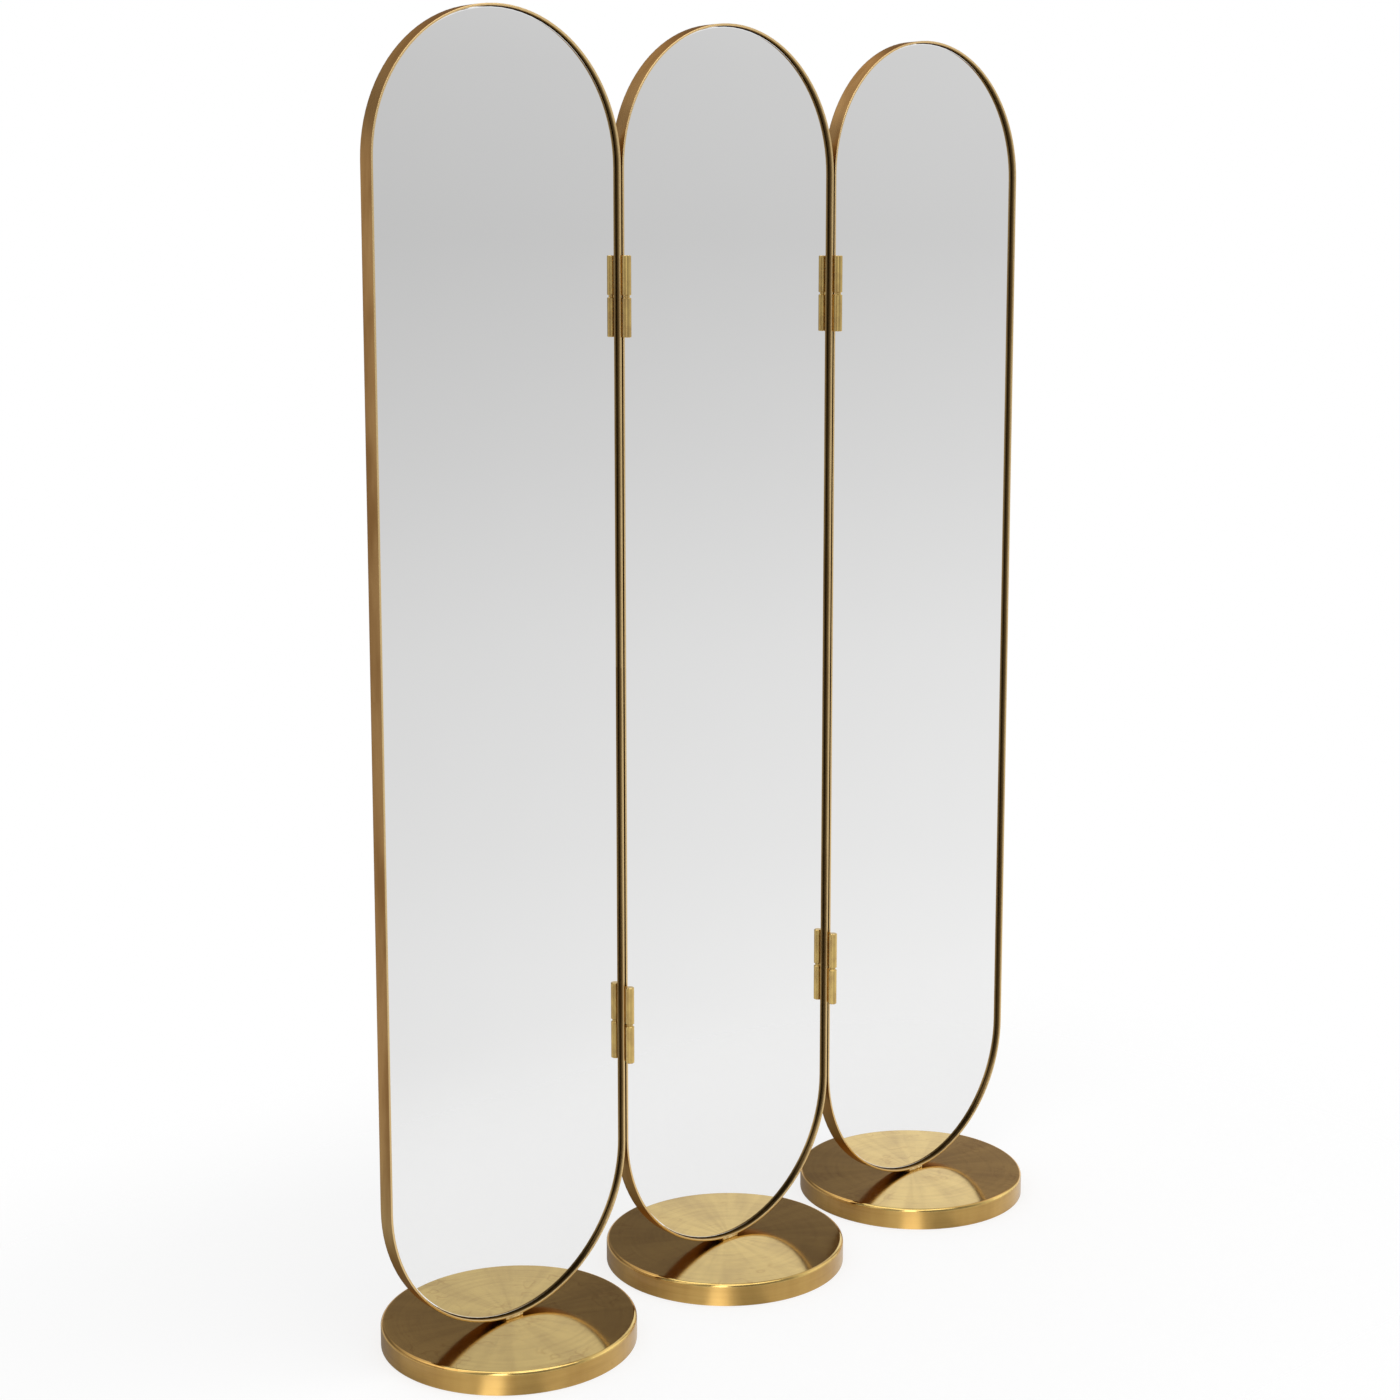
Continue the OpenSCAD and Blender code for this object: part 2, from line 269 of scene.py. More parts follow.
def set_stops(ramp, stops):
    """Gives a colour ramp its stops, each a position and a grey level."""
    while len(ramp.elements) < len(stops):
        ramp.elements.new(1)
    for element, (position, grey) in zip(ramp.elements, stops):
        element.position = position
        element.color = (grey, grey, grey, 1)


def new_material(name):
    material = bpy.data.materials.new(name)
    return material, Tree(material)


def dress(material, *families):
    """Gives every CAD node of those families the material, such as all three of frame."""
    dressed = [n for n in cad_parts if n.startswith(families)]
    if not dressed:
        raise RuntimeError(f"the model has no node of {families}")
    for name in dressed:
        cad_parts[name].material_slots[0].material = material


def from_panel_axis(x):
    """Splits x into the number of the panel (-1, 0 or 1) and the distance from its middle."""
    panel = round(x / panel_pitch)
    return panel, x - panel * panel_pitch


def within_outline(across, z):
    """How far a point lies beyond the straight part, signed, and from the outline's middle line."""
    height = z - mid_height
    beyond = height.sign() * (abs(height) - half_straight).at_least(0)
    return beyond, (across * across + beyond * beyond) ** 0.5


# Materials

def strip_brass(look):
    """Flat brass strip brushed along its length and aged in soft patches; painted shade darkens its inner
    side and underside, and a painted highlight lightens its front edge.
    """
    material, tree = new_material("frame_brass")
    x, y, z = tree.place()
    panel, across = from_panel_axis(x)
    beyond, radius = within_outline(across, z)
    height = z - mid_height
    turn = abs(beyond).angle_from(abs(across))
    along = abs(height).at_most(half_straight) + turn * end_radius
    # Each quarter of each frame gets a number of its own, so that no two share their marks
    quarter = panel * 7 + across.sign() * 2 + height.sign()
    streaks_along, streaks_across = 22, 1500
    patches_along, patches_across, patches_apart = 6, 25, 3
    streak = tree.noise(along * streaks_along, (y + radius) * streaks_across, quarter)
    patch = tree.noise(along * patches_along, y * patches_across, quarter * patches_apart, detail=3)
    streak_strength, highlight_share = 0.35, 0.8
    aged = tree.blend(patch.rises(*SOFT_PATCHES), look.strip_color, look.strip_tarnish)
    worn = tree.blend(streak.rises(*SOFT_STREAKS) * streak_strength, aged, look.strip_tarnish)
    # Painted shade: the inner side darkens away from both rims, deep in the recess beside the glass, and
    # the underside darkens from the half-round end's start
    recess_shade_start, recess_shade_end = -0.5 * MM, 6 * MM
    rim_unshaded = (strip_half_depth - abs(y)).falls(recess_shade_start, recess_shade_end) ** 2
    inner_face = (end_radius - 2.9 * MM, end_radius - 2.2 * MM)
    outer_face = (end_radius - 0.6 * MM, end_radius - 0.3 * MM)
    inside = radius.falls(*inner_face) * (1 - rim_unshaded)
    outside = radius.rises(*outer_face)
    under = outside * (0 - beyond).rises(0, 0.6 * end_radius)
    darkened = tree.blend(under, worn, look.strip_under_shade_color)
    # Painted highlight: the front edge is coloured lighter than the rest of the strip
    front_start, front_end = 0.3 * MM, 1.2 * MM
    front = (y + strip_half_depth).falls(front_start, front_end)
    highlighted = tree.blend(front * highlight_share, darkened, look.strip_front_highlight_color)
    tree.surface(
        Base_Color=tree.blend(inside, highlighted, look.strip_recess_shade_color),
        Metallic=1,
        Specular_Tint=look.brass_grazing,
        Roughness=look.strip_roughness + streak.wavers(0.12) + patch.wavers(0.1),
        Normal=tree.bump(streak, depth=0.02 * MM, strength=0.2),
    )
    return material


def spun_brass(look):
    """Brass sheet spun over a former: fine rings and fans round its axis, and a duller side painted darker
    and more orange as shade.
    """
    material, tree = new_material("base_brass")
    x, y, z = tree.place()
    panel, across = from_panel_axis(x)
    radius = (across * across + y * y) ** 0.5
    to_x, to_y = across / radius, y / radius
    rounded_edge = (base_top - 5 * MM, base_top - 2 * MM)
    side = z.falls(*rounded_edge)
    outward = radius - z
    # How many marks there are to a metre, and how often rings and fans change on their way round
    rings, sweeps, smudges, smudges_down, stains, scuffs, scuffed_places = 2200, 160, 16, 30, 45, 22, 11
    ring_turns, sweep_turns, fan_turns, fans_outward = 1.5, 1.2, 6, 4
    # The number of the panel moves each mark, so that the three bases differ
    ring = tree.noise(outward * rings, to_x * ring_turns, to_y * ring_turns + panel * 5)
    sweep = tree.noise(outward * sweeps, to_x * sweep_turns, to_y * sweep_turns + panel * 5)
    fan = tree.noise(to_x * fan_turns, to_y * fan_turns, radius * fans_outward + panel * 3, detail=3)
    smudge = tree.noise(across * smudges, y * smudges, z * smudges_down + panel * 4,
                        detail=4, roughness=0.6)
    stain = tree.noise(across * stains, y * stains, z * stains + panel * 9, detail=3, roughness=0.7)
    # Painted shade: the side takes darker, more orange copies of the top's colours
    clean = tree.blend(side, look.spun_color, look.spun_side_shade_color)
    tarnish = tree.blend(side, look.spun_tarnish, look.spun_side_shade_tarnish)
    smudge_share, sweep_share, ring_share, fan_share = 0.28, 0.2, 0.22, 0.3
    worn = (smudge_share * smudge.rises(*SMUDGES) + sweep_share * sweep.rises(*BROAD_RINGS)
            + ring_share * ring.rises(*FINE_RINGS) + fan_share * fan.rises(*SOFT_PATCHES))
    # Scuffs are thin lines where a noise passes through its middle, in a few places only
    scuff = tree.noise(across * scuffs, y * scuffs, panel * 7 + 0.5)
    scuff_core, scuff_rim = 0.004, 0.03
    scuff_line = abs(scuff - 0.5).falls(scuff_core, scuff_rim)
    scuffed_place = tree.noise(across * scuffed_places, y * scuffed_places, panel * 3 + 9)
    scuffed = scuff_line * scuffed_place.rises(*SCUFFED_PLACES) * (1 - side)
    aged = tree.blend(worn, clean, tarnish)
    stain_strength, scuff_strength = 0.5, 0.25
    marks = stain.rises(*RARE_STAINS) * stain_strength + scuffed * scuff_strength
    dullness = look.spun_side_dullness * side
    tree.surface(
        Base_Color=tree.blend(marks, aged, tarnish, "MULTIPLY"),
        Metallic=1,
        Roughness=look.spun_roughness + dullness + ring.wavers(0.04) + smudge.wavers(0.06),
        Anisotropic=look.spun_spread,
        Anisotropic_Rotation=look.spun_grain_turn,
        Coat_Weight=look.spun_lacquer + smudge.wavers(0.3),
        Coat_Roughness=look.lacquer_roughness,
        Normal=tree.bump(ring, depth=0.005 * MM, strength=0.3),
    )
    return material


def turned_brass(look):
    """Hinge brass turned on a lathe, with fine rings and a bright finish."""
    material, tree = new_material("hinge_brass")
    x, y, z = tree.place()
    rings, rings_across, smudges, smudges_up = 3000, 60, 90, 60
    ring = tree.noise(z * rings, (y - hinge_y) * rings_across, abs(x) * rings_across)
    smudge = tree.noise(x * smudges, y * smudges, z * smudges_up, detail=3)
    smudge_strength, ring_strength = 0.6, 0.2
    worn = smudge.rises(*SMUDGES) * smudge_strength + ring.rises(*RING_CRESTS) * ring_strength
    tree.surface(
        Base_Color=tree.blend(worn, look.hinge_color, look.strip_tarnish),
        Metallic=1,
        Roughness=look.hinge_roughness + ring.wavers(0.1) + smudge.wavers(0.1),
        Normal=tree.bump(ring, depth=0.01 * MM, strength=0.4),
    )
    return material


def ground_brass(look):
    """Foot plate, dressed with a flap wheel beside the weld."""
    material, tree = new_material("foot_brass")
    x, y, z = tree.place()
    scratches_along, scratches_across = 300, 2500
    scratch = tree.noise(x * scratches_along, y * scratches_across, z * scratches_across)
    scratch_strength, smoothest, scratch_roughness = 0.5, 0.22, 0.2
    dulled = scratch.rises(*FINE_RINGS) * scratch_strength
    tree.surface(
        Base_Color=tree.blend(dulled, look.weld_color, look.strip_tarnish),
        Metallic=1,
        Roughness=smoothest + scratch_roughness * scratch,
        Normal=tree.bump(scratch, depth=0.03 * MM, strength=0.6),
    )
    return material


def weld_brass(look):
    """Weld metal: bright, with darker blotches scattered at random."""
    material, tree = new_material("weld_brass")
    blotch = tree.grain(tree.place(), per_metre=500, detail=3)
    blotch_strength, smoothest, blotch_roughness = 0.6, 0.18, 0.3
    darkened = blotch.rises(*WELD_BLOTCHES) * blotch_strength
    tree.surface(
        Base_Color=tree.blend(darkened, look.weld_color, look.strip_tarnish),
        Metallic=1,
        Roughness=smoothest + blotch_roughness * blotch,
        Normal=tree.bump(blotch, depth=0.1 * MM, strength=0.5),
    )
    return material


def silvered_glass(look):
    """Mirror: silvering seen through the glass and its bevel, and the greenish ground edge."""
    material, tree = new_material("mirror")
    x, y, z = tree.place()
    _, across = from_panel_axis(x)
    beyond, radius = within_outline(across, z)
    # Past the bevel's depth the glass is its ground edge
    edge_start, edge_end = glass_front + 0.85 * MM, glass_front + 1.1 * MM
    bevel_start, bevel_end = 1.1 * MM, 1.2 * MM
    ground = y.rises(edge_start, edge_end)
    bevel = (glass_radius - radius).falls(bevel_start, bevel_end)
    haze = tree.grain((x, y, z), per_metre=9, detail=3)
    grind = tree.grain((x, y, z), per_metre=2000, detail=1)
    face = tree.blend(haze, look.silver_color, look.silver_haze)
    polished = tree.blend(bevel, face, look.bevel_color)
    # Through the bevel the silvering seems to lean towards the middle of the mirror
    lean = bevel * math.tan(look.bevel_lean) / radius
    leaning = tree.vector(0 - across * lean, -1, 0 - beyond * lean)
    settings = {"vector_type": "NORMAL", "convert_from": "OBJECT", "convert_to": "WORLD"}
    seen = tree.add("ShaderNodeVectorTransform", settings, {0: leaning})
    own = tree.add("ShaderNodeNewGeometry", output="Normal")
    inputs = {"Factor": ground, "A": seen, "B": own}
    clearest, haze_roughness, bevel_roughness = 0.004, 0.006, 0.02
    ground_roughness, grind_roughness, edge_paleness = 0.25, 0.15, 0.85
    silvered = clearest + haze_roughness * haze + bevel_roughness * bevel
    tree.surface(
        Base_Color=tree.blend(ground, polished, look.glass_edge_color),
        Metallic=1 - edge_paleness * ground,
        Roughness=silvered + ground * (ground_roughness + grind_roughness * grind),
        Normal=tree.add("ShaderNodeMix", {"data_type": "VECTOR"}, inputs),
    )
    return material


def painted_board(look):
    """Fibreboard under thin charcoal paint, which lets the fibres show."""
    material, tree = new_material("backing_board")
    x, y, z = tree.place()
    fibres_across, fibres_along = 700, 160
    fibre = tree.noise(x * fibres_across, y * fibres_across, z * fibres_along, detail=3, roughness=0.6)
    cloud = tree.grain((x, y, z), per_metre=6, detail=3)
    color = tree.blend(fibre.rises(*PAINTED_FIBRES), look.board_color, look.board_fibre_color)
    cloud_strength = 0.5
    tree.surface(
        Base_Color=tree.blend(cloud * cloud_strength, color, look.board_color),
        Roughness=look.board_roughness + fibre.wavers(0.2) + cloud.wavers(0.1),
        Normal=tree.bump(fibre, depth=0.15 * MM, strength=0.5),
    )
    return material


def plated_steel(name, color, dull_color, roughness):
    """Steel with a thin zinc coat or a ground finish, slightly clouded."""
    material, tree = new_material(name)
    cloud = tree.grain(tree.place(), per_metre=260, detail=3)
    tree.surface(
        Base_Color=tree.blend(cloud.rises(*CLOUDS), color, dull_color),
        Metallic=1,
        Roughness=roughness + cloud.wavers(0.15),
        Normal=tree.bump(cloud, depth=0.02 * MM, strength=0.4),
    )
    return material


def cast_surface(name, color, shade, per_metre, depth, roughness):
    """Rough matt surface with darker hollows: a cast weight, a felt pad or foam tape."""
    material, tree = new_material(name)
    grains = tree.grain(tree.place(), per_metre, detail=4, roughness=0.65)
    hollow_color = [shade * level for level in color]
    tree.surface(
        Base_Color=tree.blend(grains.rises(*CLOUDS), hollow_color, color),
        Roughness=roughness + grains.wavers(0.2),
        Normal=tree.bump(grains, depth, strength=0.8),
    )
    return material


# Pieces made here

def weld_bead(name, panel_x, side, weld, chance):
    """A rippled bead in the corner between foot plate and strip: side is -1 in front, 1 behind."""
    length = foot_high.x - foot_low.x + weld.overrun
    ripples = round(length / weld.ripple)
    steps = ripples * STEPS_PER_RIPPLE
    sizes = [1 + BEAD_SIZE_SPREAD * chance.uniform(-1, 1) for _ in range(ripples + 2)]
    drift = [BEAD_DRIFT * chance.uniform(-1, 1) for _ in range(ripples + 2)]
    plate_y = side * (foot_high.y + BEAD_STANDOFF * weld.bead_radius)
    bead = bmesh.new()
    rings = []
    for i in range(steps + 1):
        share = i / steps
        crest = share * ripples
        whole, part = int(crest), crest - int(crest)
        size = sizes[whole] * (1 - part) + sizes[whole + 1] * part
        off = drift[whole] * (1 - part) + drift[whole + 1] * part
        ripple = 1 - RIPPLE_DEPTH * abs(math.cos(math.pi * crest)) ** RIPPLE_SHARPNESS
        taper = math.sqrt(max(END_SIZE, 1 - (2 * share - 1) ** END_BLUNTNESS))
        r = weld.bead_radius * size * ripple * taper
        x = (share - 0.5) * length
        strip_z = mid_height - half_straight - math.sqrt(end_radius ** 2 - x ** 2)
        ring = []
        for k in range(CORNERS_AROUND):
            a = 2 * math.pi * k / CORNERS_AROUND
            y = plate_y + off + r * math.cos(a)
            z = strip_z - BEAD_SINK * weld.bead_radius + r * math.sin(a)
            ring.append(bead.verts.new((panel_x + x + BEAD_LEAN * r * math.cos(a), y, max(z, base_top))))
        rings.append(ring)
    for first, second in zip(rings, rings[1:]):
        for k in range(CORNERS_AROUND):
            n = (k + 1) % CORNERS_AROUND
            bead.faces.new((first[k], first[n], second[n], second[k]))
    bead.faces.new(rings[0])
    bead.faces.new(list(reversed(rings[-1])))
    bmesh.ops.recalc_face_normals(bead, faces=bead.faces)
    mesh = bpy.data.meshes.new(name)
    bead.to_mesh(mesh)
    bead.free()
    for polygon in mesh.polygons:
        polygon.use_smooth = True
    piece = bpy.data.objects.new(name, mesh)
    bpy.context.scene.collection.objects.link(piece)
    return piece


# Settings

def color_setting(name, description, default):
    return FloatVectorProperty(
        name=name, description=description, default=default, subtype="COLOR", size=3, min=0, max=1
    )


def length_setting(name, description, default):
    return FloatProperty(name=name, description=description, default=default, unit="LENGTH", min=0)


def share_setting(name, description, default):
    return FloatProperty(
        name=name, description=description, default=default, subtype="FACTOR", min=0, max=1
    )


class DividerLook(bpy.types.PropertyGroup):
    """Colours and finishes of the screen's own materials"""

    strip_color: color_setting("Strip", "Brushed brass of the frames", (0.645, 0.46, 0.21))
    strip_tarnish: color_setting("Strip, aged", "Aged brass of the frames", (0.41, 0.26, 0.105))
    # Painted highlight: this lighter colour stands in for the light caught along the frames' front edges
    strip_front_highlight_color: color_setting("Strip, front edge", "Front edge of the frames, rubbed bright",
                                     (0.80, 0.585, 0.285))
    # Painted shade: this colour darkens the frames' inner side deep in the recess beside the glass
    strip_recess_shade_color: color_setting("Strip, inner side", "Unpolished inner side of the frames",
                                      (0.066, 0.039, 0.013))
    # Painted shade: this colour darkens the underside of the frames' lower half-round ends
    strip_under_shade_color: color_setting("Strip, underside", "Browned underside of the frames",
                                     (0.15, 0.082, 0.026))
    brass_grazing: color_setting("Brass, grazing", "Tint of brass seen along its surface",
                                 (0.78, 0.60, 0.46))
    strip_roughness: share_setting("Strip roughness", "Roughness of the brushed strip", 0.3)
    spun_color: color_setting("Base top", "Spun brass on top of the bases", (0.90, 0.65, 0.215))
    spun_tarnish: color_setting("Base top, aged", "Aged brass on top of the bases", (0.52, 0.335, 0.095))
    # Painted shade: the base sides' colours are darker, more orange copies of the top's
    spun_side_shade_color: color_setting("Base side", "Brass round the side of the bases", (0.60, 0.38, 0.11))
    spun_side_shade_tarnish: color_setting("Base side, aged", "Aged brass round the bases",
                                     (0.42, 0.235, 0.055))
    spun_roughness: share_setting("Base roughness", "Roughness of the spun bases", 0.13)
    spun_side_dullness: share_setting("Base side dullness", "Roughness of the side beyond the top's", 0.29)
    spun_spread: share_setting("Base grain", "How far the spun rings spread a highlight", 0.8)
    spun_grain_turn: share_setting("Base grain turn", "Which way a highlight spreads, in turns", 0.25)
    spun_lacquer: share_setting("Base lacquer", "How much of the bases the clear lacquer covers", 0.35)
    lacquer_roughness: share_setting("Lacquer roughness", "Roughness of the clear lacquer", 0.12)
    hinge_color: color_setting("Hinges", "Turned brass of the hinges", (0.66, 0.47, 0.165))
    hinge_roughness: share_setting("Hinge roughness", "Roughness of the turned hinges", 0.16)
    weld_color: color_setting("Weld", "Bright metal of foot plates and welds", (0.85, 0.66, 0.34))
    silver_color: color_setting("Mirror", "Silvering seen through the glass", (0.865, 0.865, 0.862))
    silver_haze: color_setting("Mirror haze", "Slightly duller parts of the silvering",
                               (0.855, 0.855, 0.853))
    bevel_color: color_setting("Bevel", "Silvering seen through the bevel", (0.95, 0.95, 0.95))
    bevel_lean: FloatProperty(
        name="Bevel lean", description="How far the silvering seems to lean inwards behind the bevel",
        default=math.radians(10), unit="ROTATION",
    )
    glass_edge_color: color_setting("Glass edge", "Ground edge of the glass", (0.30, 0.38, 0.35))
    board_color: color_setting("Board", "Paint on the backing boards", (0.040, 0.037, 0.035))
    board_fibre_color: color_setting("Board fibres", "Fibres that show in the paint",
                                     (0.085, 0.078, 0.070))
    board_roughness: share_setting("Board roughness", "Roughness of the boards' paint", 0.62)
    zinc_color: color_setting("Zinc", "Plating of screws, bolts and washers", (0.62, 0.62, 0.60))
    zinc_dull_color: color_setting("Zinc, dull", "Clouded parts of the plating", (0.46, 0.46, 0.43))
    pin_color: color_setting("Pins", "Ground steel of the hinge pins", (0.60, 0.60, 0.58))
    iron_color: color_setting("Weights", "Painted cast iron of the weights", (0.060, 0.060, 0.064))
    pad_color: color_setting("Floor pads", "Felt under the bases", (0.022, 0.021, 0.020))
    foam_color: color_setting("Tape", "Foam tape behind the glass", (0.74, 0.74, 0.70))


class DividerWeld(bpy.types.PropertyGroup):
    """Sizes of the weld beads at the feet"""

    bead_radius: length_setting("Bead radius", "Radius of the bead", 2.3 * MM)
    ripple: length_setting("Ripple", "Length of one ripple along the bead", 2.6 * MM)
    overrun: length_setting("Overrun", "Length of bead beyond the foot plate, both ends together", 0)
    seed: IntProperty(name="Seed", description="Chooses the unevenness of the beads", default=11)


class DividerStudio(bpy.types.PropertyGroup):
    """Camera, floor, lamps and surroundings"""

    camera_place: FloatVectorProperty(
        name="Camera place", description="From the floor under the middle panel",
        default=(-2.310, -2.491, 1.466), subtype="TRANSLATION", unit="LENGTH", size=3,
    )
    camera_turn: FloatProperty(
        name="Camera turn", description="How far the camera turns from facing the back wall to the right",
        default=math.radians(42.22), unit="ROTATION",
    )
    camera_tilt: FloatProperty(
        name="Camera tilt", description="How far the camera looks down",
        default=math.radians(8.15), unit="ROTATION",
    )
    camera_drop: FloatProperty(
        name="Camera drop", description="Vertical shift of the lens, as a share of the picture",
        default=-0.07,
    )
    lens: FloatProperty(name="Lens", description="Focal length in millimetres", default=61.9, min=1)
    floor_reach: length_setting("Floor reach", "How far the floor sheet goes beyond the bases", 1.0)
    floor_color: color_setting("Floor", "Paper of the floor", (0.86, 0.86, 0.855))
    floor_glow: share_setting("Floor glow", "Share of the white that shadows leave on the floor", 0.72)
    floor_dimming: share_setting("Floor dimming", "How much darker metal shows the floor behind the screen",
                                 0.55)
    plain_level: FloatProperty(
        name="Plain level", description="Light that matt surfaces get from all round",
        default=0.75, min=0,
    )
    lamp_level: FloatProperty(
        name="Lamp level", description="Brightness of the overhead lamp's own face",
        default=1.5, min=0,
    )
    side_lamp_level: FloatProperty(
        name="Side lamp level", description="Brightness of the upright lamp beside the camera",
        default=2.5, min=0,
    )
    back_tint: color_setting("Room behind", "Tint of the room behind the screen", (1.0, 0.82, 0.72))
    lamp_width: length_setting("Lamp width", "Width of the overhead lamp", 2.6)
    lamp_depth: length_setting("Lamp depth", "Depth of the overhead lamp", 1.6)
    lamp_height: length_setting("Lamp height", "Height of the overhead lamp above the floor", 3.4)
    lamp_forward: length_setting("Lamp forward", "How far in front of the screen the lamp hangs", 1.02)


# Operators

class DIVIDER_OT_finish_frames(bpy.types.Operator):
    """Finish the three strip frames and the tabs inside them in brushed brass"""
    bl_idname = "divider.finish_frames"
    bl_label = "Finish frames"

    def execute(self, context):
        dress(strip_brass(context.scene.divider_look), "frame_", "board_tabs_")
        return {"FINISHED"}


class DIVIDER_OT_finish_hinges(bpy.types.Operator):
    """Finish the hinges, their pins and the screws in their leaves"""
    bl_idname = "divider.finish_hinges"
    bl_label = "Finish hinges"

    def execute(self, context):
        look = context.scene.divider_look
        turned = ("hinge_outer_half_", "hinge_middle_half_", "hinge_washer_", "leaf_screws_")
        dress(turned_brass(look), *turned)
        steel = plated_steel("hinge_pin_steel", look.pin_color, look.zinc_dull_color, roughness=0.25)
        dress(steel, "hinge_pin_")
        return {"FINISHED"}


class DIVIDER_OT_finish_mirrors(bpy.types.Operator):
    """Silver the three mirrors and finish the tape behind them"""
    bl_idname = "divider.finish_mirrors"
    bl_label = "Finish mirrors"

    def execute(self, context):
        look = context.scene.divider_look
        foam = cast_surface("foam_tape", look.foam_color, shade=0.7,
                            per_metre=1500, depth=0.1 * MM, roughness=0.85)
        dress(silvered_glass(look), "mirror_left", "mirror_middle", "mirror_right")
        dress(foam, "mirror_tape_")
        return {"FINISHED"}


class DIVIDER_OT_finish_backs(bpy.types.Operator):
    """Finish the painted backing boards and the screws that hold them"""
    bl_idname = "divider.finish_backs"
    bl_label = "Finish backs"

    def execute(self, context):
        look = context.scene.divider_look
        zinc = plated_steel("zinc_screws", look.zinc_color, look.zinc_dull_color, roughness=0.3)
        dress(painted_board(look), "backing_board_")
        dress(zinc, "tab_screws_", "foot_bolt_", "foot_washer_")
        return {"FINISHED"}


class DIVIDER_OT_finish_bases(bpy.types.Operator):
    """Finish the spun base covers, the weights and the floor pads"""
    bl_idname = "divider.finish_bases"
    bl_label = "Finish bases"

    def execute(self, context):
        look = context.scene.divider_look
        iron = cast_surface("cast_iron", look.iron_color, shade=0.6,
                            per_metre=400, depth=0.4 * MM, roughness=0.6)
        felt = cast_surface("floor_pad", look.pad_color, shade=0.5,
                            per_metre=1800, depth=0.3 * MM, roughness=0.9)
        dress(spun_brass(look), "base_cover_")
        dress(iron, "base_weight_")
        dress(felt, "base_pad_")
        return {"FINISHED"}


class DIVIDER_OT_weld_feet(bpy.types.Operator):
    """Finish the foot plates and lay a weld bead in front of and behind each frame's foot"""
    bl_idname = "divider.weld_feet"
    bl_label = "Weld feet"

    def execute(self, context):
        scene = context.scene
        dress(ground_brass(scene.divider_look), "foot_left", "foot_middle", "foot_right")
        material = weld_brass(scene.divider_look)
        chance = random.Random(scene.divider_weld.seed)
        for number, panel in enumerate(panels):
            for side, where in ((-1, "front"), (1, "back")):
                panel_x = (number - 1) * panel_pitch
                name = f"weld_bead_{where}_{panel}"
                bead = weld_bead(name, panel_x, side, scene.divider_weld, chance)
                bead.data.materials.append(material)
                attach(bead, f"panel_{panel}")
        return {"FINISHED"}


class DIVIDER_OT_set_stage(bpy.types.Operator):
    """Set the camera, floor, lamps and surroundings"""
    bl_idname = "divider.set_stage"
    bl_label = "Set stage"

    def execute(self, context):
        studio = context.scene.divider_studio
        set_camera(context.scene, studio)
        lay_floor(context.scene, studio)
        hang_lamp(context.scene, studio)
        surround(context.scene, studio)
        context.scene.view_settings.view_transform = "Standard"
        return {"FINISHED"}


def set_camera(scene, studio):
    data = bpy.data.cameras.new("camera")
    data.lens = studio.lens
    data.shift_y = studio.camera_drop
    camera = bpy.data.objects.new("camera", data)
    camera.location = studio.camera_place
    camera.rotation_euler = (math.pi / 2 - studio.camera_tilt, 0, -studio.camera_turn)
    scene.collection.objects.link(camera)
    scene.camera = camera


def lay_floor(scene, studio):
    """A sheet of pale paper that fades out into the surroundings at its rim."""
    half_row = panel_pitch + base_radius
    reach = studio.floor_reach
    half_x, half_y = half_row + reach, base_radius + reach
    mesh = bpy.data.meshes.new("floor")
    corners = [(-half_x, -half_y, 0), (half_x, -half_y, 0), (half_x, half_y, 0), (-half_x, half_y, 0)]
    mesh.from_pydata(corners, [], [(0, 1, 2, 3)])
    floor = bpy.data.objects.new("floor", mesh)
    scene.collection.objects.link(floor)
    floor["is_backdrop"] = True
    mesh.materials.append(floor_paper(studio, half_row))


def floor_paper(studio, half_row):
    """Plain paper for matt surfaces, and near white, with its shadows, for the camera and for metal."""
    material, tree = new_material("floor_paper")
    x, y, _ = tree.place()
    by_camera, by_glossy, by_glass = seen_by(tree)
    seen = by_camera.at_least(by_glossy).at_least(by_glass)
    behind_start, behind_end = -0.1, 0.25
    behind = by_glossy * y.rises(behind_start, behind_end) * studio.floor_dimming
    beyond_x = (abs(x) - half_row).at_least(0)
    beyond_y = (abs(y) - base_radius).at_least(0)
    beyond = (beyond_x * beyond_x + beyond_y * beyond_y) ** 0.5
    fade_start, fade_end = 0.3 * studio.floor_reach, 0.95 * studio.floor_reach
    near = beyond.falls(fade_start, fade_end)
    # A touch more than the share that shadows leave makes the open floor white
    white_lift, behind_level = 0.03, 0.1
    paper = tree.add("ShaderNodeBsdfDiffuse", inputs={"Color": studio.floor_color})
    lit = tree.add("ShaderNodeBsdfDiffuse", inputs={"Color": [1 - studio.floor_glow] * 3})
    level = shown_in_base_sides(tree, x, y, by_glossy)
    white = studio.floor_glow + white_lift
    glow = tree.add("ShaderNodeEmission", inputs={"Color": level, "Strength": white})
    bright = tree.add("ShaderNodeAddShader", inputs={0: lit, 1: glow})
    dark = tree.add("ShaderNodeEmission", inputs={"Color": studio.back_tint, "Strength": behind_level})
    shown = tree.add("ShaderNodeMixShader", inputs={0: behind, 1: bright, 2: dark})
    sheet = tree.add("ShaderNodeMixShader", inputs={0: seen, 1: paper, 2: shown})
    clear = tree.add("ShaderNodeBsdfTransparent")
    faded = tree.add("ShaderNodeMixShader", inputs={0: near, 1: clear, 2: sheet})
    tree.add_output("ShaderNodeOutputMaterial", faded)
    return material


